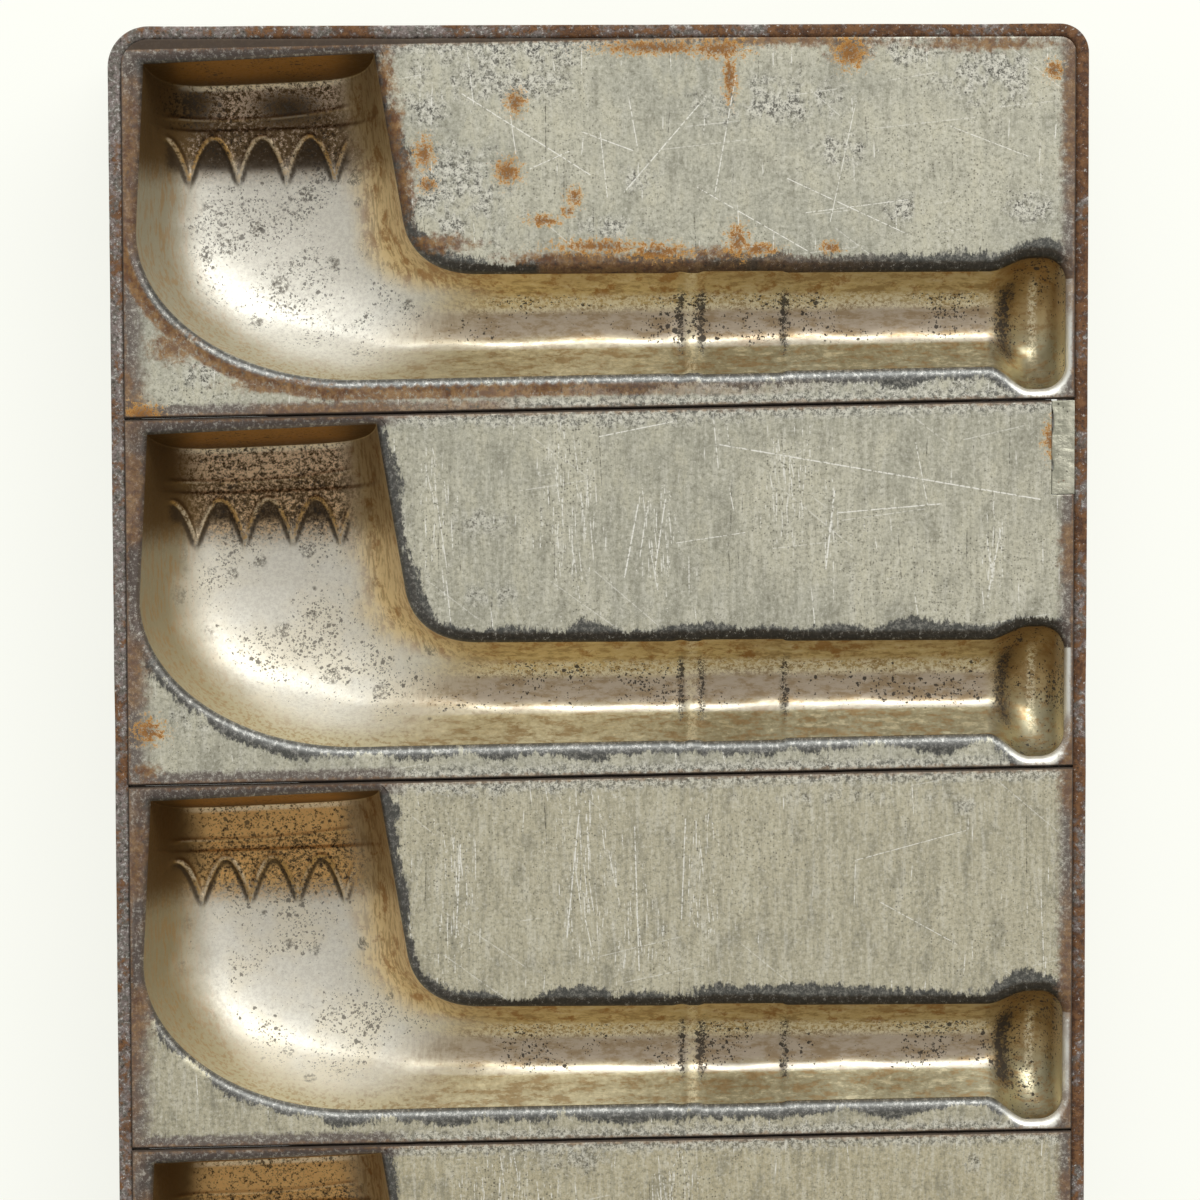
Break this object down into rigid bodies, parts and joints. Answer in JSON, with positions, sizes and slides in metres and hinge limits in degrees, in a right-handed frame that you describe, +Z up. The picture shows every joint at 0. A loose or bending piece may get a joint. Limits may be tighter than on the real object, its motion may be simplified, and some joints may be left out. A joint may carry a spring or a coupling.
{
  "type": "confectionery mould",
  "caption": "Flat metal confectionery mould: pressed tinplate plates with half tobacco pipe cavities, set side by side in a riveted strip-steel frame.",
  "frame": {"origin": "middle of the footprint, on the surface that the frame stands on", "axes": "+X along the pipes from bowl to mouthpiece, +Y across the rows towards the bowls' mouths, +Z up out of the cavities"},
  "size_m": [0.1142, 0.1758, 0.019],
  "materials": {
    "tinplate": "worn, scratched and pitted tin over steel, with rust at the edges",
    "strip_steel": "dark steel strip with brown rust",
    "rivet_steel": "dull hammered steel",
    "solder": "dull grey solder with file marks"
  },
  "bodies": {
    "root": {"cavity_plate_1": "tinplate", "cavity_plate_2": "tinplate", "cavity_plate_3": "tinplate", "cavity_plate_4": "tinplate", "frame_band": "strip_steel", "band_splice": "strip_steel", "cross_bar_1": "strip_steel", "cross_bar_2": "strip_steel", "cross_bar_3": "strip_steel", "bar_rivet_1": "rivet_steel", "bar_rivet_2": "rivet_steel", "bar_rivet_3": "rivet_steel", "bar_rivet_4": "rivet_steel", "bar_rivet_5": "rivet_steel", "bar_rivet_6": "rivet_steel", "bar_rivet_7": "rivet_steel", "bar_rivet_8": "rivet_steel", "bar_rivet_9": "rivet_steel", "bar_rivet_10": "rivet_steel", "bar_rivet_11": "rivet_steel", "bar_rivet_12": "rivet_steel", "splice_rivet_1": "rivet_steel", "splice_rivet_2": "rivet_steel", "splice_rivet_3": "rivet_steel", "splice_rivet_4": "rivet_steel", "solder_near_1": "solder", "solder_near_2": "solder", "solder_near_3": "solder", "solder_near_4": "solder", "solder_far_1": "solder", "solder_far_2": "solder", "solder_far_3": "solder", "solder_far_4": "solder", "solder_top": "solder", "solder_bottom": "solder", "solder_patch": "solder"}
  },
  "joints": []
}
